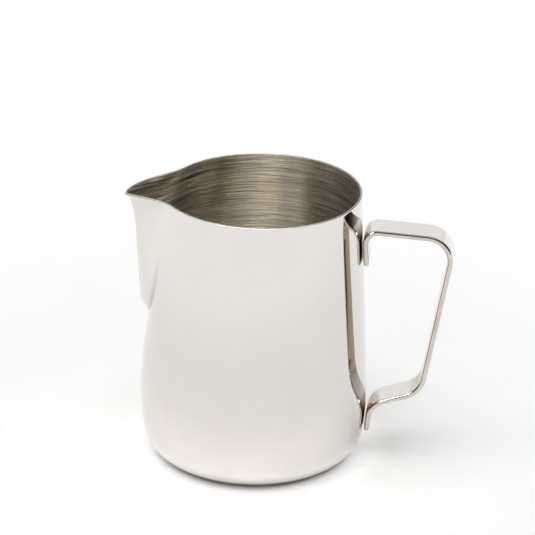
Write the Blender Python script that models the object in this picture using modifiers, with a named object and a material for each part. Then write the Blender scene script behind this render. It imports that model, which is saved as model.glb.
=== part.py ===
"""Milk frothing pitcher: a drawn steel jug with a pressed beak, and a strap handle spot-welded to it.

Metres, +Z up. The origin is the centre of the flat underside, on the jug's axis. The handle is
towards +X and the beak towards -X, and the XZ plane is the plane of symmetry.
"""
import math

import bmesh
import bpy
from mathutils import Matrix, Vector

# ---- Jug: outer profile, before the beak is pressed ----
HEIGHT = 0.110
WALL = 0.0008
MOUTH_RADIUS = 0.0407
BELLY_RADIUS = 0.0449
BELLY_HEIGHT = 0.025
BELLY_CURVE = 0.155      # radius of the belly's long arc, seen from the side
CORNER_RADIUS = 0.011    # round corner between the side and the underside

# ---- Jug: the beak ----
BEAK_DROP = 0.0516       # from the rim down to the beak's lowest point
HOLLOW_DEPTH = 0.0015    # the pressing pulls the wall in below the beak
HOLLOW_HEIGHT = 0.0121
HOLLOW_ANGLE = math.radians(26)
CHIN_RISE = 0.0048       # height of the rounded chin above the beak's lowest point
CHIN_DEPTH = 0.0037      # how far the chin stands out from the hollow
RIDGE_LEAN = 0.0513      # outward lean of the ridge above the chin
LIP_HEIGHT = 0.026       # stretch below the rim over which the lip flares out
LIP_FLARE = 0.0023
LIP_POWER = 4            # how suddenly the lip flares
TIP_HEIGHT = 0.0022      # the turned-out tip of the lip
TIP_FLARE = 0.0012
LIP_SAG = 0.0047         # how far the tip of the lip hangs below the rim
SAG_ANGLE = math.radians(12.5)
FOOT_ANGLE = math.radians(1.5)    # half angle between the beak's creases at its lowest point
BEAK_ANGLE = math.radians(26.3)   # the same where the creases run straight up
BEAK_OPENING = 0.0048    # height over which the creases part
RIM_SPREAD = math.radians(5.5)    # what the beak gains in half angle up to the rim
CREASE_FADE = 0.040      # below the rim, where the creases start to soften
SIDE_POWER_CREASE = 1.05  # 1 is a sharp crease beside the beak, 2 runs out softly
SIDE_POWER_RIM = 2.5
NOSE_FOOT = math.radians(1.7)     # rounding of the ridge at the chin
NOSE_RIM = math.radians(1.6)      # rounding of the ridge at the lip
MOUTH_SHIFT = 0.0029     # the pressing draws the sides of the mouth in and pushes it back
MOUTH_SHIFT_DROP = 0.058
MOUTH_STRETCH = 0.03     # the front half of the mouth turns slightly oval

# ---- Handle strap ----
STRAP_WIDTH = 0.013
STRAP_THICKNESS = 0.0021
STRAP_EDGE_ROUND = 0.0009
SEAT_GAP = 0.0003        # between the strap's tab and the wall
UPPER_TAB_END = 0.0276   # below the rim
UPPER_TAB_RUN = 0.0144   # from the tab's end to its bend
LOWER_TAB_END = 0.0109   # above the table
LOWER_TAB_RUN = 0.0114
TOP_REACH = 0.0347       # top run of the strap, outwards and down
TOP_FALL = 0.0020
LOWER_REACH = 0.0202     # lower run of the strap, outwards and up
LOWER_RISE = 0.0068
UPPER_ROOT_BEND = 0.0046
TOP_BEND = 0.0097
LOWER_BEND = 0.0104
LOWER_ROOT_BEND = 0.0092

# ---- Spot welds ----
WELD_RADIUS = 0.0012
WELD_HALF_SPACING = 0.0030
WELD_FROM_END = 0.0027   # from the tab's end to the middle of its welds
WELD_POCKET = 0.0009     # depth of the weld's seat in the tab
WELD_CLEARANCE = 0.0003
DIMPLE_RADIUS = 0.0011   # mark of the electrode on the tab's outer face
DIMPLE_DEPTH = 0.00025

# ---- Mesh resolution ----
HALF_COLUMNS = 38
CORNER_ROWS = 6
BELLY_ROWS = 3
SIDE_ROWS = 4
CHIN_ROWS = 5
BEAK_ROWS = 5
LIP_ROWS = 5
TIP_ROWS = 3
BEND_STEPS = 7
WELD_SEGMENTS = 20

PARTS = "milk_frothing_pitcher"
CUTTERS = "cutters"


def clear_scene():
    for item in list(bpy.data.objects):
        bpy.data.objects.remove(item)


def new_collection(name):
    group = bpy.data.collections.new(name)
    bpy.context.scene.collection.children.link(group)
    return group


def steel(name, colour, roughness):
    material = bpy.data.materials.new(name)
    material.use_nodes = True
    shader = material.node_tree.nodes["Principled BSDF"]
    shader.inputs["Base Color"].default_value = (*colour, 1.0)
    shader.inputs["Metallic"].default_value = 1.0
    shader.inputs["Roughness"].default_value = roughness
    return material


def object_from(name, shape, group, material=None):
    """Turn a finished bmesh into a named object of a collection."""
    mesh = bpy.data.meshes.new(name)
    shape.to_mesh(mesh)
    shape.free()
    item = bpy.data.objects.new(name, mesh)
    group.objects.link(item)
    if material:
        mesh.materials.append(material)
    return item


def smooth_step(share):
    share = min(max(share, 0.0), 1.0)
    return share * share * (3.0 - 2.0 * share)


def spaced(start, end, steps):
    """Equal steps from start, left out, to end."""
    return [start + (end - start) * step / steps for step in range(1, steps + 1)]


# ---- Outer profile: flat, corner arc, belly arc, straight cone ----
belly_centre = BELLY_RADIUS - BELLY_CURVE
corner_rise = BELLY_HEIGHT - CORNER_RADIUS
flat_radius = belly_centre + math.sqrt((BELLY_CURVE - CORNER_RADIUS) ** 2 - corner_rise ** 2)
corner_tilt = math.atan2(corner_rise, flat_radius - belly_centre)
corner_top = CORNER_RADIUS - CORNER_RADIUS * math.sin(corner_tilt)
mouth_across = MOUTH_RADIUS - belly_centre
mouth_above = HEIGHT - BELLY_HEIGHT
cone_tilt = (math.atan2(mouth_above, mouth_across)
             - math.acos(BELLY_CURVE / math.hypot(mouth_above, mouth_across)))
belly_top = BELLY_HEIGHT + BELLY_CURVE * math.sin(cone_tilt)


def wall_radius(z):
    """Outer radius of the plain jug at a height."""
    if z < corner_top:
        return flat_radius + math.sqrt(CORNER_RADIUS ** 2 - (CORNER_RADIUS - z) ** 2)
    if z < belly_top:
        return belly_centre + math.sqrt(BELLY_CURVE ** 2 - (z - BELLY_HEIGHT) ** 2)
    return MOUTH_RADIUS + (HEIGHT - z) * math.tan(cone_tilt)


def wall_slope(z):
    """Change of the outer radius with height."""
    step = 0.0001
    return (wall_radius(z + step) - wall_radius(z - step)) / (2.0 * step)


# ---- Beak ----
beak_foot = HEIGHT - BEAK_DROP
chin_top = beak_foot + CHIN_RISE
lip_foot = HEIGHT - LIP_HEIGHT
tip_height = HEIGHT - LIP_SAG
tip_foot = tip_height - TIP_HEIGHT
crease_end = HEIGHT - CREASE_FADE


def hollow(angle, z):
    """How far the wall is pulled in around the beak's foot."""
    aside = (angle / HOLLOW_ANGLE) ** 2
    away = ((z - beak_foot) / HOLLOW_HEIGHT) ** 2
    return HOLLOW_DEPTH * math.exp(-aside - away)


def ridge_reach(z):
    """Distance of the beak's ridge from the jug's axis at a height."""
    below_top = min((z - beak_foot) / CHIN_RISE, 1.0)
    chin = CHIN_DEPTH * (1.0 - (1.0 - below_top) ** 2)
    lean = RIDGE_LEAN * max(z - chin_top, 0.0)
    flare = LIP_FLARE * max((z - lip_foot) / (tip_height - lip_foot), 0.0) ** LIP_POWER
    tip = TIP_FLARE * max((z - tip_foot) / TIP_HEIGHT, 0.0) ** 2
    return wall_radius(beak_foot) - HOLLOW_DEPTH + chin + lean + flare + tip


def beak_half_angle(z):
    """Angle from the ridge to the crease beside the beak."""
    parted = 1.0 - math.exp((beak_foot - z) / BEAK_OPENING)
    spread = RIM_SPREAD * smooth_step((z - lip_foot) / (tip_height - lip_foot))
    return FOOT_ANGLE + (BEAK_ANGLE - FOOT_ANGLE) * parted + spread


def wall_point(angle, row):
    """Point of the outer surface. The angle is measured from the beak, round the axis; the row is
    the height before the lip sags."""
    sag = LIP_SAG * math.exp(-angle / SAG_ANGLE)
    z = row - sag * smooth_step((row - lip_foot) / LIP_HEIGHT)
    narrowing = max(z - (HEIGHT - MOUTH_SHIFT_DROP), 0.0) / MOUTH_SHIFT_DROP
    shift = MOUTH_SHIFT * narrowing ** 1.5
    stretch = MOUTH_STRETCH * narrowing * max(math.cos(angle), 0.0) ** 2
    radius = (wall_radius(z) - shift) * (1.0 + stretch) - hollow(angle, z)
    climb = (z - beak_foot) / (tip_height - beak_foot)
    if climb > 0.0:
        front = (wall_radius(z) - shift) * (1.0 + MOUTH_STRETCH * narrowing) - hollow(0.0, z)
        proud = ridge_reach(z) + shift - front
        nose = NOSE_FOOT + (NOSE_RIM - NOSE_FOOT) * climb
        aside = (math.hypot(angle, nose) - nose) / beak_half_angle(z)
        softness = smooth_step((z - crease_end) / (tip_height - crease_end))
        power = SIDE_POWER_CREASE + (SIDE_POWER_RIM - SIDE_POWER_CREASE) * softness
        radius += proud * max(1.0 - aside, 0.0) ** power
    return Vector((shift - radius * math.cos(angle), radius * math.sin(angle), z))


def jug_rows():
    """Heights of the mesh's rings, from the underside to the rim."""
    corner_turn = math.pi / 2 - corner_tilt
    rows = [0.0]
    rows += [CORNER_RADIUS * (1.0 - math.cos(turn)) for turn in spaced(0.0, corner_turn, CORNER_ROWS)]
    rows += spaced(corner_top, belly_top, BELLY_ROWS)
    rows += spaced(belly_top, beak_foot, SIDE_ROWS)
    rows += spaced(beak_foot, chin_top, CHIN_ROWS)
    rows += spaced(chin_top, lip_foot, BEAK_ROWS)
    rows += spaced(lip_foot, HEIGHT - TIP_HEIGHT, LIP_ROWS)
    rows += spaced(HEIGHT - TIP_HEIGHT, HEIGHT, TIP_ROWS)
    return rows


def jug_columns():
    """Angles round the jug from the beak, closest together at the beak's ridge."""
    shares = [step / HALF_COLUMNS for step in range(HALF_COLUMNS + 1)]
    half = [math.pi * (0.2 * share + 0.8 * share ** 2) for share in shares]
    return half


def make_jug(group):
    """Loft round sections into beaked ones for the outer surface, then give it the wall."""
    shape = bmesh.new()
    half = jug_columns()
    rings = []
    for row in jug_rows():
        near = [wall_point(angle, row) for angle in half]
        far = [Vector((p.x, -p.y, p.z)) for p in reversed(near[1:-1])]
        rings.append([shape.verts.new(point) for point in near + far])
    for lower, upper in zip(rings, rings[1:]):
        for index in range(len(lower)):
            after = (index + 1) % len(lower)
            shape.faces.new((lower[index], upper[index], upper[after], lower[after]))
    centre = shape.verts.new((0.0, 0.0, 0.0))
    bottom = rings[0]
    for index in range(len(bottom)):
        after = (index + 1) % len(bottom)
        shape.faces.new((centre, bottom[index], bottom[after]))
    jug = object_from("jug_body", shape, group, steel("polished_steel", (0.80, 0.78, 0.76), 0.08))
    wall = jug.modifiers.new("wall", "SOLIDIFY")
    wall.thickness = WALL
    wall.offset = -1.0
    wall.use_even_offset = True
    jug.data.shade_smooth()
    jug.data.set_sharp_from_angle(angle=math.radians(40))
    return jug


# ---- Handle ----
def tab_frame(z):
    """Point on the wall at a height, with the wall's directions upwards and outwards there."""
    slope = wall_slope(z)
    up = Vector((slope, 0.0, 1.0)).normalized()
    out = Vector((1.0, 0.0, -slope)).normalized()
    return Vector((wall_radius(z), 0.0, z)), up, out


def rounded_path(corners, radii):
    """Points along a route of straight runs whose inner corners are rounded."""
    points = [corners[0]]
    for before, corner, after, radius in zip(corners, corners[1:], corners[2:], radii):
        back = (before - corner).normalized()
        ahead = (after - corner).normalized()
        half = back.angle(ahead) / 2.0
        middle = corner + (back + ahead).normalized() * (radius / math.sin(half))
        start = corner + back * (radius / math.tan(half)) - middle
        end = corner + ahead * (radius / math.tan(half)) - middle
        axis = start.cross(end).normalized()
        sweep = start.angle(end)
        for step in range(BEND_STEPS + 1):
            turn = Matrix.Rotation(sweep * step / BEND_STEPS, 3, axis)
            points.append(middle + turn @ start)
    points.append(corners[-1])
    return points


upper_end = HEIGHT - UPPER_TAB_END
lower_end = LOWER_TAB_END
upper_weld = upper_end + WELD_FROM_END
lower_weld = lower_end + WELD_FROM_END


def strap_corners():
    """Corners of the strap's centre line, from the upper tab's end to the lower tab's end."""
    depth = SEAT_GAP + STRAP_THICKNESS / 2.0
    wall, up, out = tab_frame(upper_end + UPPER_TAB_RUN / 2.0)
    upper_root = wall + out * depth + up * (UPPER_TAB_RUN / 2.0)
    upper_tip = upper_root - up * UPPER_TAB_RUN
    wall, up, out = tab_frame(lower_end + LOWER_TAB_RUN / 2.0)
    lower_root = wall + out * depth + up * (LOWER_TAB_RUN / 2.0)
    lower_tip = lower_root - up * LOWER_TAB_RUN
    top_corner = upper_root + Vector((TOP_REACH, 0.0, -TOP_FALL))
    lower_corner = lower_root + Vector((LOWER_REACH, 0.0, LOWER_RISE))
    return [upper_tip, upper_root, top_corner, lower_corner, lower_root, lower_tip]


def make_strap(group):
    """A strip along the centre line, given its thickness and its rounded edges."""
    bends = [UPPER_ROOT_BEND, TOP_BEND, LOWER_BEND, LOWER_ROOT_BEND]
    side = Vector((0.0, STRAP_WIDTH / 2.0, 0.0))
    shape = bmesh.new()
    pairs = [(shape.verts.new(point - side), shape.verts.new(point + side))
             for point in rounded_path(strap_corners(), bends)]
    for (left, right), (next_left, next_right) in zip(pairs, pairs[1:]):
        shape.faces.new((left, right, next_right, next_left))
    bmesh.ops.recalc_face_normals(shape, faces=shape.faces)
    strap = object_from("handle_strap", shape, group, steel("satin_steel", (0.72, 0.70, 0.67), 0.25))
    body = strap.modifiers.new("thickness", "SOLIDIFY")
    body.thickness = STRAP_THICKNESS
    body.offset = 0.0
    body.use_even_offset = True
    edges = strap.modifiers.new("edges", "BEVEL")
    edges.width = STRAP_EDGE_ROUND
    edges.segments = 3
    edges.limit_method = "ANGLE"
    edges.angle_limit = math.radians(40)
    strap.data.shade_smooth()
    strap.data.set_sharp_from_angle(angle=math.radians(40))
    return strap


def make_disc(name, centre, axis, radius, depth, group, material=None):
    """A short round bar about an axis."""
    shape = bmesh.new()
    turn = Vector((0.0, 0.0, 1.0)).rotation_difference(axis).to_matrix().to_4x4()
    bmesh.ops.create_cone(shape, cap_ends=True, segments=WELD_SEGMENTS, radius1=radius,
                          radius2=radius, depth=depth, matrix=Matrix.Translation(centre) @ turn)
    disc = object_from(name, shape, group, material)
    disc.data.shade_smooth()
    disc.data.set_sharp_from_angle(angle=math.radians(40))
    return disc


def make_ball(name, centre, radius, group):
    shape = bmesh.new()
    bmesh.ops.create_uvsphere(shape, u_segments=48, v_segments=48, radius=radius,
                              matrix=Matrix.Translation(centre))
    return object_from(name, shape, group)


def cut_away(item, cutter):
    cutter.hide_render = True
    cutter.display_type = "WIRE"
    cut = item.modifiers.new(cutter.name, "BOOLEAN")
    cut.operation = "DIFFERENCE"
    cut.solver = "EXACT"
    cut.object = cutter


def make_weld(name, z, y, strap, group, cutters, material):
    """One spot weld: its nugget, the nugget's seat in the tab and the electrode's dimple."""
    wall, up, out = tab_frame(z)
    wall.y = y
    tab_face = wall + out * SEAT_GAP
    nugget_depth = WELD_POCKET - WELD_CLEARANCE
    make_disc(name, tab_face + out * (nugget_depth / 2.0), out, WELD_RADIUS, nugget_depth,
              group, material)
    seat = make_disc(name + "_seat", tab_face, out, WELD_RADIUS + WELD_CLEARANCE,
                     2.0 * WELD_POCKET, cutters)
    cut_away(strap, seat)
    ball_radius = (DIMPLE_RADIUS ** 2 + DIMPLE_DEPTH ** 2) / (2.0 * DIMPLE_DEPTH)
    outer_face = tab_face + out * STRAP_THICKNESS
    dimple = make_ball(name + "_dimple", outer_face + out * (ball_radius - DIMPLE_DEPTH),
                       ball_radius, cutters)
    cut_away(strap, dimple)


def main():
    clear_scene()
    parts = new_collection(PARTS)
    cutters = new_collection(CUTTERS)
    make_jug(parts)
    strap = make_strap(parts)
    nugget_steel = steel("weld_steel", (0.35, 0.33, 0.31), 0.45)
    for level, z in (("upper", upper_weld), ("lower", lower_weld)):
        for side, y in (("left", WELD_HALF_SPACING), ("right", -WELD_HALF_SPACING)):
            make_weld(f"{level}_{side}_spot_weld", z, y, strap, parts, cutters, nugget_steel)


main()
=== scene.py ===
"""Looks of the milk frothing pitcher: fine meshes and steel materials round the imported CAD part.

Metres, +Z up, in the CAD's frame: the handle towards +X, the beak towards -X, and the XZ plane is
the plane of symmetry.
"""
import math

import bmesh
import bpy
from mathutils import Matrix, Vector


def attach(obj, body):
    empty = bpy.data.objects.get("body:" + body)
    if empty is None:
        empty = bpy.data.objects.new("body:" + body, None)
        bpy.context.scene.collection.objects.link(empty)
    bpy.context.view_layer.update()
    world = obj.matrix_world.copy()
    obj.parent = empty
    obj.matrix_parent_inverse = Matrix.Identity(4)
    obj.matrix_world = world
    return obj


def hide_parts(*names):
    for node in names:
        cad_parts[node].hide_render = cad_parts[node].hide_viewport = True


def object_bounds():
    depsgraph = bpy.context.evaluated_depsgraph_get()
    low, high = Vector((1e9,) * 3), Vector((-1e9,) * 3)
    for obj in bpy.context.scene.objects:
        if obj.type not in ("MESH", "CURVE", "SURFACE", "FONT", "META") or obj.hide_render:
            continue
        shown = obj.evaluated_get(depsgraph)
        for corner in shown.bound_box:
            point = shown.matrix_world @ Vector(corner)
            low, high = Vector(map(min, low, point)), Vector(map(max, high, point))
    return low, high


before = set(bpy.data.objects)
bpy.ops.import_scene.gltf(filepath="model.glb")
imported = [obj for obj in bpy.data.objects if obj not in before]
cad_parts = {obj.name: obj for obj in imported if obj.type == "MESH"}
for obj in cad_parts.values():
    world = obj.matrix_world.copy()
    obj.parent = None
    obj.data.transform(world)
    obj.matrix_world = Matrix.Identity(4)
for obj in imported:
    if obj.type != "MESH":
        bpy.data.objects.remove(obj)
cad_low, cad_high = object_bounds()

# ---- Jug: outer profile, before the beak is pressed ----
HEIGHT = 0.110
WALL = 0.0008
MOUTH_RADIUS = 0.0407
BELLY_RADIUS = 0.0449
BELLY_HEIGHT = 0.025
BELLY_CURVE = 0.155      # radius of the belly's long arc, seen from the side
CORNER_RADIUS = 0.011    # round corner between the side and the underside

# ---- Jug: the beak ----
BEAK_DROP = 0.0516       # from the rim down to the beak's lowest point
HOLLOW_DEPTH = 0.0015    # the pressing pulls the wall in below the beak
HOLLOW_HEIGHT = 0.0121
HOLLOW_ANGLE = math.radians(26)
CHIN_RISE = 0.0048       # height of the rounded chin above the beak's lowest point
CHIN_DEPTH = 0.0037      # how far the chin stands out from the hollow
RIDGE_LEAN = 0.0513      # outward lean of the ridge above the chin
LIP_HEIGHT = 0.026       # stretch below the rim over which the lip flares out
LIP_FLARE = 0.0023
LIP_POWER = 4            # how suddenly the lip flares
TIP_HEIGHT = 0.0022      # the turned-out tip of the lip
TIP_FLARE = 0.0012
LIP_SAG = 0.0047         # how far the tip of the lip hangs below the rim
SAG_ANGLE = math.radians(12.5)
FOOT_ANGLE = math.radians(1.5)    # half angle between the beak's creases at its lowest point
BEAK_ANGLE = math.radians(26.3)   # the same where the creases run straight up
BEAK_OPENING = 0.0048    # height over which the creases part
RIM_SPREAD = math.radians(5.5)    # what the beak gains in half angle up to the rim
CREASE_FADE = 0.040      # below the rim, where the creases start to soften
SIDE_POWER_CREASE = 1.05  # 1 is a sharp crease beside the beak, 2 runs out softly
SIDE_POWER_RIM = 2.5
NOSE_FOOT = math.radians(1.7)     # rounding of the ridge at the chin
NOSE_RIM = math.radians(1.6)      # rounding of the ridge at the lip
MOUTH_SHIFT = 0.0029     # the pressing draws the sides of the mouth in and pushes it back
MOUTH_SHIFT_DROP = 0.058
MOUTH_STRETCH = 0.03     # the front half of the mouth turns slightly oval

# ---- Handle strap ----
STRAP_WIDTH = 0.013
STRAP_THICKNESS = 0.0021
STRAP_EDGE_ROUND = 0.0009   # of its long edges and its ends
SEAT_GAP = 0.0003        # between the strap's tab and the wall
UPPER_TAB_END = 0.0276   # below the rim
UPPER_TAB_RUN = 0.0144   # from the tab's end to its bend
LOWER_TAB_END = 0.0109   # above the table
LOWER_TAB_RUN = 0.0114
TOP_REACH = 0.0347       # top run of the strap, outwards and down
TOP_FALL = 0.0020
LOWER_REACH = 0.0202     # lower run of the strap, outwards and up
LOWER_RISE = 0.0068
UPPER_ROOT_BEND = 0.0046
TOP_BEND = 0.0097
LOWER_BEND = 0.0104
LOWER_ROOT_BEND = 0.0092

# ---- Spot welds ----
WELD_HALF_SPACING = 0.0030
WELD_FROM_END = 0.0027   # from the tab's end to the middle of its welds
DIMPLE_RADIUS = 0.0011   # mark of the electrode on the tab's outer face
DIMPLE_DEPTH = 0.00025
RING_HEIGHT = 0.00005    # metal raised round the electrode's mark
RING_PLACE = 1.2         # its distance from the mark's middle, in radii of the mark
RING_WIDTH = 0.15
HEAT_RADIUS = 0.0019     # heat tint round a weld

# ---- Painted shade in the creases beside the beak: a darker, rougher line ----
CREASE_SHADE_START = 0.80        # share of the way from the ridge to the crease
CREASE_SHADE_PAST = 0.04
CREASE_SHADE_RISE = 0.0025       # height over which it starts, at the beak's foot
CREASE_SHADE_TOP = 0.094         # height where it ends

# ---- Resolution of the fine meshes ----
HALF_COLUMNS = 152       # round half of the jug
EVEN_SHARE = 0.25        # the rest of the spacing crowds the columns towards the beak
SIDE_STEP = 0.001        # between the rings of the jug's mesh
CREASE_STEP = 0.0004     # the same where the crease runs across
CREASE_RUN = 0.003       # how far above the chin it still does
TIP_STEP = 0.0003
CORNER_RINGS = 18
FLAT_SHARES = (0.03, 0.12, 0.25, 0.4, 0.55, 0.7, 0.85, 0.95)
RIM_STEPS = 8
PATH_STEP = 0.0012       # between the strap's cross-sections
TAB_STEP = 0.0003        # the same on the tabs, for the weld marks
FACE_COLUMNS = 44        # across the strap's wide faces
EDGE_STEPS = 5
BEND_STEPS = 24
SHARPEST_ROUND = 0.00001


def smooth_step(share):
    share = min(max(share, 0.0), 1.0)
    return share * share * (3.0 - 2.0 * share)


def spaced(start, end, steps):
    """Equal steps from start, left out, to end."""
    return [start + (end - start) * step / steps for step in range(1, steps + 1)]


# ---- Outer profile: flat, corner arc, belly arc, straight cone ----
belly_centre = BELLY_RADIUS - BELLY_CURVE
corner_rise = BELLY_HEIGHT - CORNER_RADIUS
flat_radius = belly_centre + math.sqrt((BELLY_CURVE - CORNER_RADIUS) ** 2 - corner_rise ** 2)
corner_tilt = math.atan2(corner_rise, flat_radius - belly_centre)
corner_top = CORNER_RADIUS - CORNER_RADIUS * math.sin(corner_tilt)
mouth_across = MOUTH_RADIUS - belly_centre
mouth_above = HEIGHT - BELLY_HEIGHT
cone_tilt = (math.atan2(mouth_above, mouth_across)
             - math.acos(BELLY_CURVE / math.hypot(mouth_above, mouth_across)))
belly_top = BELLY_HEIGHT + BELLY_CURVE * math.sin(cone_tilt)


def wall_radius(z):
    """Outer radius of the plain jug at a height."""
    if z < corner_top:
        return flat_radius + math.sqrt(CORNER_RADIUS ** 2 - (CORNER_RADIUS - z) ** 2)
    if z < belly_top:
        return belly_centre + math.sqrt(BELLY_CURVE ** 2 - (z - BELLY_HEIGHT) ** 2)
    return MOUTH_RADIUS + (HEIGHT - z) * math.tan(cone_tilt)


def wall_slope(z):
    """Change of the outer radius with height."""
    step = 0.0001
    return (wall_radius(z + step) - wall_radius(z - step)) / (2.0 * step)


# ---- Beak ----
beak_foot = HEIGHT - BEAK_DROP
chin_top = beak_foot + CHIN_RISE
lip_foot = HEIGHT - LIP_HEIGHT
tip_height = HEIGHT - LIP_SAG
tip_foot = tip_height - TIP_HEIGHT
crease_end = HEIGHT - CREASE_FADE


def hollow(angle, z):
    """How far the wall is pulled in around the beak's foot."""
    aside = (angle / HOLLOW_ANGLE) ** 2
    away = ((z - beak_foot) / HOLLOW_HEIGHT) ** 2
    return HOLLOW_DEPTH * math.exp(-aside - away)


def ridge_reach(z):
    """Distance of the beak's ridge from the jug's axis at a height."""
    below_top = min((z - beak_foot) / CHIN_RISE, 1.0)
    chin = CHIN_DEPTH * (1.0 - (1.0 - below_top) ** 2)
    lean = RIDGE_LEAN * max(z - chin_top, 0.0)
    flare = LIP_FLARE * max((z - lip_foot) / (tip_height - lip_foot), 0.0) ** LIP_POWER
    tip = TIP_FLARE * max((z - tip_foot) / TIP_HEIGHT, 0.0) ** 2
    return wall_radius(beak_foot) - HOLLOW_DEPTH + chin + lean + flare + tip


def beak_half_angle(z):
    """Angle from the ridge to the crease beside the beak."""
    parted = 1.0 - math.exp((beak_foot - z) / BEAK_OPENING)
    spread = RIM_SPREAD * smooth_step((z - lip_foot) / (tip_height - lip_foot))
    return FOOT_ANGLE + (BEAK_ANGLE - FOOT_ANGLE) * parted + spread


def beside_ridge(angle, z):
    """Distance from the beak's ridge, where 1 is the crease."""
    climb = (z - beak_foot) / (tip_height - beak_foot)
    nose = NOSE_FOOT + (NOSE_RIM - NOSE_FOOT) * climb
    return (math.hypot(angle, nose) - nose) / beak_half_angle(z)


def wall_point(angle, row):
    """Point of the outer surface. The angle is measured from the beak, round the axis; the row is
    the height before the lip sags."""
    sag = LIP_SAG * math.exp(-angle / SAG_ANGLE)
    z = row - sag * smooth_step((row - lip_foot) / LIP_HEIGHT)
    narrowing = max(z - (HEIGHT - MOUTH_SHIFT_DROP), 0.0) / MOUTH_SHIFT_DROP
    shift = MOUTH_SHIFT * narrowing ** 1.5
    stretch = MOUTH_STRETCH * narrowing * max(math.cos(angle), 0.0) ** 2
    radius = (wall_radius(z) - shift) * (1.0 + stretch) - hollow(angle, z)
    if z > beak_foot:
        front = (wall_radius(z) - shift) * (1.0 + MOUTH_STRETCH * narrowing) - hollow(0.0, z)
        proud = ridge_reach(z) + shift - front
        softness = smooth_step((z - crease_end) / (tip_height - crease_end))
        power = SIDE_POWER_CREASE + (SIDE_POWER_RIM - SIDE_POWER_CREASE) * softness
        radius += proud * max(1.0 - beside_ridge(angle, z), 0.0) ** power
    return Vector((shift - radius * math.cos(angle), radius * math.sin(angle), z))


# ---- Handle ----
def tab_frame(z):
    """Point on the wall at a height, with the wall's directions upwards and outwards there."""
    slope = wall_slope(z)
    up = Vector((slope, 0.0, 1.0)).normalized()
    out = Vector((1.0, 0.0, -slope)).normalized()
    return Vector((wall_radius(z), 0.0, z)), up, out


def rounded_path(corners, radii):
    """Points along a route of straight runs whose inner corners are rounded."""
    points = [corners[0]]
    for before, corner, after, radius in zip(corners, corners[1:], corners[2:], radii):
        back = (before - corner).normalized()
        ahead = (after - corner).normalized()
        half = back.angle(ahead) / 2.0
        middle = corner + (back + ahead).normalized() * (radius / math.sin(half))
        start = corner + back * (radius / math.tan(half)) - middle
        end = corner + ahead * (radius / math.tan(half)) - middle
        axis = start.cross(end).normalized()
        sweep = start.angle(end)
        for step in range(BEND_STEPS + 1):
            turn = Matrix.Rotation(sweep * step / BEND_STEPS, 3, axis)
            points.append(middle + turn @ start)
    points.append(corners[-1])
    return points


upper_end = HEIGHT - UPPER_TAB_END
lower_end = LOWER_TAB_END
upper_weld = upper_end + WELD_FROM_END
lower_weld = lower_end + WELD_FROM_END


def strap_corners():
    """Corners of the strap's centre line, from the upper tab's end to the lower tab's end."""
    depth = SEAT_GAP + STRAP_THICKNESS / 2.0
    wall, up, out = tab_frame(upper_end + UPPER_TAB_RUN / 2.0)
    upper_root = wall + out * depth + up * (UPPER_TAB_RUN / 2.0)
    upper_tip = upper_root - up * UPPER_TAB_RUN
    wall, up, out = tab_frame(lower_end + LOWER_TAB_RUN / 2.0)
    lower_root = wall + out * depth + up * (LOWER_TAB_RUN / 2.0)
    lower_tip = lower_root - up * LOWER_TAB_RUN
    top_corner = upper_root + Vector((TOP_REACH, 0.0, -TOP_FALL))
    lower_corner = lower_root + Vector((LOWER_REACH, 0.0, LOWER_RISE))
    return [upper_tip, upper_root, top_corner, lower_corner, lower_root, lower_tip]


# ---- Node materials ----
# Each colour pair is the darkest and the lightest steel of a pattern, where the pattern is 0.3 and
# 0.7. Each scale is in pattern cells for each metre.
POLISHED = ((0.735, 0.700, 0.668), (0.755, 0.724, 0.696))
POLISHED_SPAN = (0.25, 0.75)
BUFFING_SCALE = (90.0, 90.0, 1500.0)
# painted shade in the creases beside the beak
PAINTED_CREASE_SHADE = ((0.400, 0.385, 0.360), (0.500, 0.485, 0.460))
BRUSHED = ((0.43, (0.250, 0.224, 0.175)), (0.50, (0.610, 0.566, 0.490)),
           (0.57, (0.950, 0.910, 0.850)))
COARSE_RINGS = (26.0, 26.0, 2300.0)
FINE_RINGS = (60.0, 60.0, 4600.0)
INSIDE_FLOOR = (0.006, 0.013)       # heights over which the rings turn from the floor to the wall
RIM = ((0.310, 0.294, 0.268), (0.420, 0.402, 0.376))
STRAP_FACE = ((0.690, 0.680, 0.662), (0.770, 0.762, 0.746))
STRAP_SHEARED = ((0.580, 0.530, 0.480), (0.700, 0.655, 0.605))
# painted shade on the strap's inner face, towards the jug
STRAP_INNER_PAINTED_SHADE = ((0.440, 0.375, 0.300), (0.560, 0.490, 0.410))
STRAP_HEATED = ((0.330, 0.255, 0.180), (0.450, 0.385, 0.320))
STRAP_GRAIN = (22.0, 2600.0, 22.0)
FUSED = ((0.25, (0.22, 0.18, 0.14)), (0.55, (0.36, 0.32, 0.28)), (0.8, (0.44, 0.42, 0.42)))
PAPER = ((0.2, (0.90, 0.90, 0.90)), (0.8, (0.92, 0.92, 0.92)))


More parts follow.
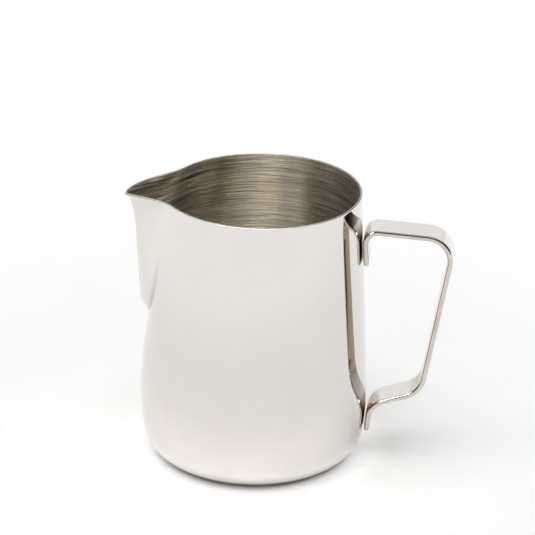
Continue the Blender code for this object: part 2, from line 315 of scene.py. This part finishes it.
class Nodes:
    """Short names for building in a node tree."""

    def __init__(self, tree):
        self.tree = tree

    def node(self, kind, **settings):
        made = self.tree.nodes.new(kind)
        for key, value in settings.items():
            setattr(made, key, value)
        return made

    def link(self, source, target):
        self.tree.links.new(source, target)

    def give(self, sockets, values):
        for socket, value in zip(sockets, values):
            if isinstance(value, (int, float)):
                socket.default_value = value
            else:
                self.link(value, socket)

    def math(self, operation, first, second=0.0):
        made = self.node("ShaderNodeMath", operation=operation)
        self.give(made.inputs, (first, second))
        return made.outputs[0]

    def add(self, first, second):
        return self.math("ADD", first, second)

    def times(self, first, second):
        return self.math("MULTIPLY", first, second)

    def blend(self, first, second, share):
        """The sum of both, where the first one has this share."""
        return self.add(self.times(first, share), self.times(second, 1.0 - share))

    def length(self, x, y):
        return self.math("SQRT", self.add(self.times(x, x), self.times(y, y)))

    def vector(self, x, y, z):
        made = self.node("ShaderNodeCombineXYZ")
        self.give(made.inputs, (x, y, z))
        return made.outputs[0]

    def scaled(self, x, y, z, scales):
        """The vector of three values, each with its own scale."""
        return self.vector(*(self.times(part, scale) for part, scale in zip((x, y, z), scales)))

    def vectors(self, operation, *inputs):
        made = self.node("ShaderNodeVectorMath", operation=operation)
        self.give(made.inputs, inputs)
        return made.outputs[0]

    def parts(self, whole):
        """The three values of a vector."""
        made = self.node("ShaderNodeSeparateXYZ")
        self.link(whole, made.inputs[0])
        return made.outputs

    def coordinate(self, kind):
        return self.node("ShaderNodeTexCoord").outputs[kind]

    def spread(self, value, low, high, to_low, to_high, ease="LINEAR"):
        made = self.node("ShaderNodeMapRange", interpolation_type=ease)
        self.give(made.inputs, (value, low, high, to_low, to_high))
        return made.outputs[0]

    def noise(self, vector, scale, detail=2.0, roughness=0.5):
        made = self.node("ShaderNodeTexNoise")
        self.link(vector, made.inputs["Vector"])
        made.inputs["Scale"].default_value = scale
        made.inputs["Detail"].default_value = detail
        made.inputs["Roughness"].default_value = roughness
        return made.outputs["Fac"]

    def colours(self, value, stops):
        made = self.node("ShaderNodeValToRGB")
        ramp = made.color_ramp
        while len(ramp.elements) < len(stops):
            ramp.elements.new(0.5)
        for element, (share, colour) in zip(ramp.elements, stops):
            element.position = share
            element.color = (*colour, 1.0)
        self.link(value, made.inputs["Fac"])
        return made.outputs["Color"]

    def tones(self, value, pair, span=(0.3, 0.7)):
        return self.colours(value, tuple(zip(span, pair)))

    def mix(self, share, first, second):
        made = self.node("ShaderNodeMix", data_type="RGBA")
        self.link(share, made.inputs[0])
        self.link(first, made.inputs[6])
        self.link(second, made.inputs[7])
        return made.outputs[2]

    def bump(self, height, distance):
        made = self.node("ShaderNodeBump")
        made.inputs["Distance"].default_value = distance
        self.link(height, made.inputs["Height"])
        return made.outputs["Normal"]


class Recipe(Nodes):
    """A node material round a Principled shader."""

    def __init__(self, name, metallic=1.0):
        self.material = bpy.data.materials.new(name)
        self.material.use_nodes = True
        super().__init__(self.material.node_tree)
        self.shader = self.tree.nodes["Principled BSDF"]
        self.shader.inputs["Metallic"].default_value = metallic

    def marks(self):
        """The value that the mesh carries for its marks, from 0 to 1."""
        return self.node("ShaderNodeAttribute", attribute_name="marks").outputs["Fac"]

    def finish(self, colour, roughness, normal=None):
        self.link(colour, self.shader.inputs["Base Color"])
        self.link(roughness, self.shader.inputs["Roughness"])
        if normal:
            self.link(normal, self.shader.inputs["Normal"])
        return self.material


def polished_steel():
    """Mirror polish with the faint haze and fine marks that buffing leaves."""
    made = Recipe("polished_steel_outside")
    place = made.coordinate("Object")
    haze = made.noise(place, 38.0, 3.0, 0.55)
    marks = made.noise(made.scaled(*made.parts(place), BUFFING_SCALE), 1.0)
    # Beside the beak the marks paint shade: a darker steel colour, and more roughness.
    dull = made.marks()
    colour = made.mix(dull, made.tones(haze, POLISHED, POLISHED_SPAN),
                      made.tones(marks, PAINTED_CREASE_SHADE))
    roughness = made.add(made.spread(haze, 0.3, 0.7, 0.012, 0.030),
                         made.spread(marks, 0.3, 0.7, 0.0, 0.015))
    roughness = made.add(roughness, made.times(dull, 0.12))
    return made.finish(colour, roughness, made.bump(marks, 0.0000006))


def brushed_inside():
    """Rings of fine scratches, left by turning the jug against an abrasive."""
    made = Recipe("brushed_steel_inside")
    x, y, z = made.parts(made.coordinate("Object"))
    on_floor = made.spread(z, *INSIDE_FLOOR, 1.0, 0.0)
    profile = made.math("SUBTRACT", z, made.times(made.length(x, y), on_floor))
    coarse = made.noise(made.scaled(x, y, profile, COARSE_RINGS), 1.0, 2.0, 0.6)
    fine = made.noise(made.scaled(x, y, profile, FINE_RINGS), 1.0, 2.0, 0.6)
    rings = made.blend(coarse, fine, 0.55)
    ring_way = made.vector(made.times(y, -1.0), x, 0.0)
    normal = made.node("ShaderNodeNewGeometry").outputs["Normal"]
    across_rings = made.vectors("NORMALIZE", made.vectors("CROSS_PRODUCT", ring_way, normal))
    made.shader.inputs["Anisotropic"].default_value = 1.0
    made.link(across_rings, made.shader.inputs["Tangent"])
    return made.finish(made.colours(rings, BRUSHED), made.spread(rings, 0.4, 0.6, 0.32, 0.22),
                       made.bump(rings, 0.00003))


def rim_steel():
    """The ground edge of the sheet, worn a little."""
    made = Recipe("polished_steel_rim")
    wear = made.noise(made.coordinate("Object"), 420.0, 3.0, 0.6)
    return made.finish(made.tones(wear, RIM), made.spread(wear, 0.3, 0.7, 0.50, 0.66),
                       made.bump(wear, 0.000004))


def strap_steel():
    """Polished strip with a lengthways grain, warmer on its sheared edges, and painted shade,
    darker and browner, on its inner face.
    """
    made = Recipe("grained_strap_steel")
    place = made.coordinate("Object")
    grain = made.noise(made.scaled(*made.parts(place), STRAP_GRAIN), 1.0, 2.0, 0.6)
    haze = made.noise(place, 120.0)
    mixed = made.blend(grain, haze, 0.6)
    facing = made.parts(made.coordinate("Normal"))
    sheared = made.spread(made.math("ABSOLUTE", facing["Y"]), 0.55, 0.85, 0.0, 1.0)
    # The inner face, towards the jug, is painted darker and browner as painted shade.
    inwards = made.spread(facing["X"], -0.45, -0.75, 0.0, 1.0)
    heated = made.times(made.marks(), 0.8)
    colour = made.mix(sheared, made.tones(mixed, STRAP_FACE), made.tones(haze, STRAP_SHEARED))
    colour = made.mix(inwards, colour, made.tones(mixed, STRAP_INNER_PAINTED_SHADE))
    colour = made.mix(heated, colour, made.tones(haze, STRAP_HEATED))
    roughness = made.add(made.spread(mixed, 0.3, 0.7, 0.12, 0.06), made.times(sheared, 0.14))
    return made.finish(colour, roughness, made.bump(grain, 0.000002))


def weld_steel():
    """Fused steel, dull and heat-tinted."""
    made = Recipe("fused_weld_steel")
    tint = made.noise(made.coordinate("Object"), 900.0, 3.0, 0.6)
    return made.finish(made.colours(tint, FUSED), made.spread(tint, 0.3, 0.7, 0.35, 0.6),
                       made.bump(tint, 0.00004))


# ---- Fine meshes ----
def place_in_scene(name, data):
    item = bpy.data.objects.new(name, data)
    bpy.context.scene.collection.objects.link(item)
    return item


def skin(name, rings, slots=None, marks=None):
    """A closed smooth mesh through rings of equal length, with a point cap at each end. The slots
    are one material index for each step between rings. The marks are one value for each point of
    the rings, for the material."""
    count = len(rings[0])
    points = [tuple(point) for ring in rings for point in ring]
    first = sum(rings[0], Vector()) / count
    last = sum(rings[-1], Vector()) / count
    points += [tuple(first), tuple(last)]
    faces = []
    for level in range(len(rings) - 1):
        for index in range(count):
            after = (index + 1) % count
            faces.append((level * count + index, level * count + after,
                          (level + 1) * count + after, (level + 1) * count + index))
    top = (len(rings) - 1) * count
    for index in range(count):
        after = (index + 1) % count
        faces.append((len(points) - 2, after, index))
        faces.append((len(points) - 1, top + index, top + after))
    mesh = bpy.data.meshes.new(name)
    mesh.from_pydata(points, [], faces)
    if slots:
        walls = [slot for slot in slots for _ in range(count)]
        mesh.polygons.foreach_set("material_index", walls + [slots[0], slots[-1]] * count)
    shape = bmesh.new()
    shape.from_mesh(mesh)
    bmesh.ops.recalc_face_normals(shape, faces=shape.faces)
    shape.to_mesh(mesh)
    shape.free()
    mesh.shade_smooth()
    if marks:
        field = mesh.attributes.new("marks", "FLOAT", "POINT")
        field.data.foreach_set("value", [mark for ring in marks for mark in ring] + [0.0, 0.0])
    return place_in_scene(name, mesh)


def jug_heights():
    """Heights of the rings, from the underside to where the rim's rounding starts."""
    turns = spaced(0.0, math.pi / 2 - corner_tilt, CORNER_RINGS)
    heights = [0.0] + [CORNER_RADIUS * (1.0 - math.cos(turn)) for turn in turns]
    levels = (corner_top, beak_foot - HOLLOW_HEIGHT, beak_foot, chin_top, chin_top + CREASE_RUN,
              lip_foot, tip_foot)
    for low, high in zip(levels, levels[1:]):
        step = CREASE_STEP if beak_foot <= low <= chin_top else SIDE_STEP
        heights += spaced(low, high, math.ceil((high - low) / step))
    top = HEIGHT - WALL / 2
    return heights + spaced(heights[-1], top, math.ceil((top - heights[-1]) / TIP_STEP))


def crease_painted_shade(angle, z):
    """How much painted shade, darker and rougher steel, lies beside the beak, from 0 to 1."""
    if z <= beak_foot:
        return 0.0
    aside = beside_ridge(angle, z)
    near = smooth_step((aside - CREASE_SHADE_START) / (1.0 - CREASE_SHADE_START))
    past = smooth_step((aside - 1.0) / CREASE_SHADE_PAST)
    fade = smooth_step((CREASE_SHADE_TOP - z) / (CREASE_SHADE_TOP - beak_foot))
    fade *= smooth_step((z - beak_foot) / CREASE_SHADE_RISE)
    return near * (1.0 - past) * fade


def inner_rings(outer):
    """The outer surface moved in by the wall's thickness."""
    inner = []
    for level, ring in enumerate(outer):
        above = outer[min(level + 1, len(outer) - 1)]
        below = outer[max(level - 1, 0)]
        line = []
        for index, point in enumerate(ring):
            along = ring[(index + 1) % len(ring)] - ring[index - 1]
            inwards = along.cross(above[index] - below[index]).normalized()
            line.append(point + inwards * WALL)
        inner.append(line)
    return inner


def rim_rings(outer, inner):
    """Half a turn from the outer surface's top ring to the inner surface's."""
    rim = []
    for step in range(1, RIM_STEPS):
        turn = math.pi * step / RIM_STEPS
        line = []
        for index, (near, far) in enumerate(zip(outer[-1], inner[-1])):
            up = (near - outer[-2][index]).normalized()
            line.append((near + far) / 2 + (near - far) / 2 * math.cos(turn)
                        + up * (WALL / 2 * math.sin(turn)))
        rim.append(line)
    return rim


def make_jug():
    """The outer surface, the rounded rim and the inner surface as one closed skin."""
    shares = [step / HALF_COLUMNS for step in range(HALF_COLUMNS + 1)]
    half = [math.pi * (EVEN_SHARE * share + (1.0 - EVEN_SHARE) * share ** 2) for share in shares]
    heights = jug_heights()
    halves = [[wall_point(angle, row) for angle in half] for row in heights]
    flat = [[point * share for point in halves[0]] for share in FLAT_SHARES]
    outer = [line + [Vector((p.x, -p.y, p.z)) for p in reversed(line[1:-1])]
             for line in flat + halves]
    inner = inner_rings(outer)
    rim = rim_rings(outer, inner)
    slots = [0] * (len(outer) - 1) + [1] * RIM_STEPS + [2] * (len(inner) - 1)
    plain = [0.0] * len(outer[0])
    # the marks on the jug are painted shade in the creases beside the beak
    marks = [[crease_painted_shade(angle, row) for angle in half] for row in heights]
    marks = [line + line[-2:0:-1] for line in marks]
    marks = [plain] * len(flat) + marks + [plain] * (len(rim) + len(inner))
    jug = skin("jug", outer + rim + inner[::-1], slots, marks)
    for material in (polished_steel(), rim_steel(), brushed_inside()):
        jug.data.materials.append(material)
    return jug


def strap_section(inset):
    """Rounded rectangle, pulled in all round, as distances across and out."""
    radius = max(STRAP_EDGE_ROUND - inset, SHARPEST_ROUND)
    across = STRAP_WIDTH / 2 - inset - radius
    out = STRAP_THICKNESS / 2 - inset - radius
    points = []
    for quarter, (side, face) in enumerate(((1, 1), (-1, 1), (-1, -1), (1, -1))):
        for step in range(EDGE_STEPS + 1):
            turn = math.pi / 2 * (quarter + step / EDGE_STEPS)
            points.append((side * across + radius * math.cos(turn),
                           face * out + radius * math.sin(turn)))
        if side == face:
            points += [(side * across * (1.0 - 2.0 * column / FACE_COLUMNS), face * (out + radius))
                       for column in range(1, FACE_COLUMNS)]
    return points


def weld_distance(point):
    """Distance from the nearest electrode mark on the tabs, and the way out of the face there."""
    found = []
    for z in (upper_weld, lower_weld):
        wall, _, out = tab_frame(z)
        for y in (WELD_HALF_SPACING, -WELD_HALF_SPACING):
            middle = wall + Vector((0.0, y, 0.0)) + out * (SEAT_GAP + STRAP_THICKNESS)
            found.append(((point - middle).length, out))
    return min(found, key=lambda pair: pair[0])


def strap_mark(point):
    """Presses the electrode's mark into a point near one, and says how far the heat tinted it."""
    away, out = weld_distance(point)
    share = away / DIMPLE_RADIUS
    if share < 1.0:
        point -= out * (DIMPLE_DEPTH * (1.0 - share ** 2))
    point += out * (RING_HEIGHT * math.exp(-((share - RING_PLACE) / RING_WIDTH) ** 2))
    return math.exp(-(away / HEAT_RADIUS) ** 2)


def rounded_end(end, inwards):
    """Points on the centre line near an end, each with how far the section is pulled in there."""
    turns = [math.pi / 2 * step / EDGE_STEPS for step in range(EDGE_STEPS)]
    return [(end + inwards * (STRAP_EDGE_ROUND * (1 - math.cos(turn))),
             STRAP_EDGE_ROUND * (1 - math.sin(turn))) for turn in turns]


def make_strap():
    """The rounded section swept along the centre line, with its ends rounded as well."""
    corners = rounded_path(strap_corners(),
                           [UPPER_ROOT_BEND, TOP_BEND, LOWER_BEND, LOWER_ROOT_BEND])
    path = [corners[0]]
    for start, end in zip(corners, corners[1:]):
        tab = start is corners[0] or end is corners[-1]
        steps = math.ceil((end - start).length / (TAB_STEP if tab else PATH_STEP))
        path += [start.lerp(end, step / steps) for step in range(1, steps + 1)]
    first = (path[1] - path[0]).normalized()
    last = (path[-1] - path[-2]).normalized()
    places = [(point, first, inset) for point, inset in rounded_end(path[0], first)]
    for before, point, after in zip(path, path[1:], path[2:]):
        if (point - path[0]).length > STRAP_EDGE_ROUND < (point - path[-1]).length:
            places.append((point, (after - before).normalized(), 0.0))
    places += [(point, last, inset) for point, inset in reversed(rounded_end(path[-1], -last))]
    side = Vector((0.0, 1.0, 0.0))
    rings = []
    for point, way, inset in places:
        out = side.cross(way)
        rings.append([point + side * across + out * away for across, away in strap_section(inset)])
    marks = [[strap_mark(point) for point in ring] for ring in rings]
    strap = skin("strap", rings, None, marks)
    strap.data.materials.append(strap_steel())
    return strap


# ---- Floor, light and camera ----
FLOOR_RADIUS = 4.0
# The floor's emission is painted light: none under the jug, which leaves a painted contact
# shadow there, and painted light round it. The distances are in radii of the jug's belly.
PAINTED_SHADOW_EDGE = (0.82, 0.92)
PAINTED_RING_LIGHT = 0.54         # painted light close round the jug
RING_EDGE = (1.0, 1.25)
PAINTED_NEAR_LIGHT = 0.41
FAR_EDGE = (1.5, 8.0)
PAINTED_FAR_LIGHT = 0.20          # what the painted light gains further out
SUN_POWER = 1.75
SUN_WIDTH = math.radians(50.0)
SUN_WAY = Vector((0.07, 0.10, -1.0))     # from above, a little from the left
SOFTBOX_PLACE = Vector((-0.12, -0.80, 1.18))
SOFTBOXES = (("key", (1.65, 0.5), 53.0), ("wash", (4.6, 0.5), 6.0))    # size and power
# The room's light, by the direction's x, y and z.
RIGHT_EDGE = (0.30, 0.85)
RIGHT_LIGHT = 0.02       # share of the room's light that comes from the right
OVERHEAD_EDGE = (0.50, 0.80)
OVERHEAD_LIGHT = 0.50
FRONT_EDGE = (-0.75, 0.10)
FRONT_LIGHT = 0.15       # and from the camera's side
HORIZON_LIGHT = 1.09     # as bright as the floor, so that the metal shows no edge between them
HORIZON_FRONT = (0.02, 0.16)
HORIZON_BACK = (0.02, 0.36)
BACK_EDGE = (-0.95, -0.55)
HANDLE_EDGE = (0.40, 0.78)
ROOM = ((0.0, (0.0, 0.0, 0.0)), (0.25, (0.26, 0.235, 0.20)), (1.0, (1.0, 0.99, 0.98)))
CAMERA_DISTANCE = 1.001
CAMERA_ELEVATION = math.radians(24.59)
CAMERA_AZIMUTH = math.radians(5.24)      # from -Y towards +X
CAMERA_ROLL = math.radians(0.91)
CAMERA_TARGET = Vector((0.00468, 0.00043, 0.07685))
SENSOR = 36.0
LENS = 172.65


def make_floor():
    shape = bmesh.new()
    bmesh.ops.create_circle(shape, cap_ends=True, segments=96, radius=FLOOR_RADIUS,
                            matrix=Matrix.Translation((0.0, 0.0, cad_low.z - 0.0001)))
    mesh = bpy.data.meshes.new("floor")
    shape.to_mesh(mesh)
    shape.free()
    floor = place_in_scene("floor", mesh)
    made = Recipe("pale_floor_painted_light", metallic=0.0)
    place = made.coordinate("Object")
    x, y, _ = made.parts(place)
    out = made.times(made.length(x, y), 1.0 / cad_high.y)
    # Painted light: the emission is zero under the jug, as a painted contact shadow, and rises
    # round it.
    painted_light = made.spread(out, *PAINTED_SHADOW_EDGE, 0.0, PAINTED_RING_LIGHT, "SMOOTHSTEP")
    painted_light = made.add(painted_light, made.spread(out, *RING_EDGE, 0.0, PAINTED_NEAR_LIGHT - PAINTED_RING_LIGHT))
    painted_light = made.add(painted_light, made.spread(out, *FAR_EDGE, 0.0, PAINTED_FAR_LIGHT))
    grain = made.noise(place, 60.0, 4.0)
    colour = made.colours(grain, PAPER)
    made.link(colour, made.shader.inputs["Emission Color"])
    made.link(painted_light, made.shader.inputs["Emission Strength"])
    mesh.materials.append(made.finish(colour, made.spread(grain, 0.0, 1.0, 0.85, 0.95)))


def make_backdrop():
    """White all round for the camera; the metal and the floor see the studio instead."""
    shape = bmesh.new()
    bmesh.ops.create_uvsphere(shape, u_segments=64, v_segments=32, radius=FLOOR_RADIUS * 1.2)
    mesh = bpy.data.meshes.new("backdrop")
    shape.to_mesh(mesh)
    shape.free()
    backdrop = place_in_scene("backdrop", mesh)
    for ray in ("diffuse", "glossy", "transmission", "volume_scatter", "shadow"):
        setattr(backdrop, "visible_" + ray, False)
    paper = Recipe("white_backdrop", metallic=0.0)
    paper.shader.inputs["Emission Color"].default_value = (1.0, 1.0, 1.0, 1.0)
    paper.shader.inputs["Emission Strength"].default_value = 1.0
    mesh.materials.append(paper.material)


def make_world():
    """A white studio towards the back and the left, and a dark room to the right and overhead."""
    world = bpy.data.worlds.new("studio")
    bpy.context.scene.world = world
    world.use_nodes = True
    world.cycles_visibility.diffuse = False
    room = Nodes(world.node_tree)
    x, y, z = room.parts(room.coordinate("Generated"))
    ease = "SMOOTHSTEP"
    light = room.times(room.spread(x, *RIGHT_EDGE, 1.0, RIGHT_LIGHT, ease),
                       room.spread(z, *OVERHEAD_EDGE, 1.0, OVERHEAD_LIGHT, ease))
    light = room.times(light, room.spread(y, *FRONT_EDGE, FRONT_LIGHT, 1.0, ease))
    back = room.times(room.spread(y, *BACK_EDGE, 0.0, 1.0, ease),
                      room.spread(z, *HORIZON_BACK, 1.0, 0.0, ease))
    horizon = room.math("MAXIMUM", room.spread(z, *HORIZON_FRONT, 1.0, 0.0, ease), back)
    horizon = room.times(horizon, room.spread(x, *HANDLE_EDGE, 1.0, 0.0, ease))
    light = room.math("MAXIMUM", room.times(light, 1.0 / HORIZON_LIGHT), horizon)
    background = world.node_tree.nodes["Background"]
    room.link(room.colours(light, ROOM), background.inputs["Color"])
    background.inputs["Strength"].default_value = HORIZON_LIGHT


def make_sun():
    """Wide even light on the floor and the matt steel, which the mirrors don't show."""
    lamp = bpy.data.lights.new("overhead", "SUN")
    lamp.energy = SUN_POWER
    lamp.angle = SUN_WIDTH
    light = place_in_scene("overhead", lamp)
    light.rotation_euler = SUN_WAY.to_track_quat("-Z", "Y").to_euler()
    light.visible_glossy = False


def make_softboxes(lit_piece):
    """Wide lights over the camera's side, which only one piece sees."""
    lit = bpy.data.collections.new("lit_by_softboxes")
    lit.objects.link(lit_piece)
    for name, size, power in SOFTBOXES:
        lamp = bpy.data.lights.new(name, "AREA")
        lamp.shape = "RECTANGLE"
        lamp.size, lamp.size_y = size
        lamp.energy = power
        light = place_in_scene(name, lamp)
        light.location = SOFTBOX_PLACE
        light.rotation_euler = (-SOFTBOX_PLACE).to_track_quat("-Z", "Y").to_euler()
        light.visible_diffuse = False
        light.light_linking.receiver_collection = lit


def make_camera():
    back = Vector((math.cos(CAMERA_ELEVATION) * math.sin(CAMERA_AZIMUTH),
                   -math.cos(CAMERA_ELEVATION) * math.cos(CAMERA_AZIMUTH),
                   math.sin(CAMERA_ELEVATION)))
    level = Vector((0.0, 0.0, 1.0)).cross(back).normalized()
    upright = back.cross(level)
    right = level * math.cos(CAMERA_ROLL) + upright * math.sin(CAMERA_ROLL)
    up = upright * math.cos(CAMERA_ROLL) - level * math.sin(CAMERA_ROLL)
    eye = bpy.data.cameras.new("camera")
    eye.sensor_width = SENSOR
    eye.lens = LENS
    camera = place_in_scene("camera", eye)
    turn = Matrix((right, up, back)).transposed().to_4x4()
    camera.matrix_world = Matrix.Translation(CAMERA_TARGET + back * CAMERA_DISTANCE) @ turn
    bpy.context.scene.camera = camera


# ---- The scene ----
bpy.context.scene.view_settings.view_transform = "Standard"
bpy.context.scene.cycles.max_bounces = 24
bpy.context.scene.cycles.glossy_bounces = 20
bpy.context.scene.cycles.diffuse_bounces = 6
make_camera()
make_world()
make_floor()
make_backdrop()
make_sun()

jug = make_jug()
make_softboxes(jug)
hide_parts("jug_body")
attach(jug, "root")

strap = make_strap()
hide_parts("handle_strap")
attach(strap, "root")

nugget = weld_steel()
for name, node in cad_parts.items():
    if name.endswith("_spot_weld"):
        for slot in node.material_slots:
            slot.material = nugget
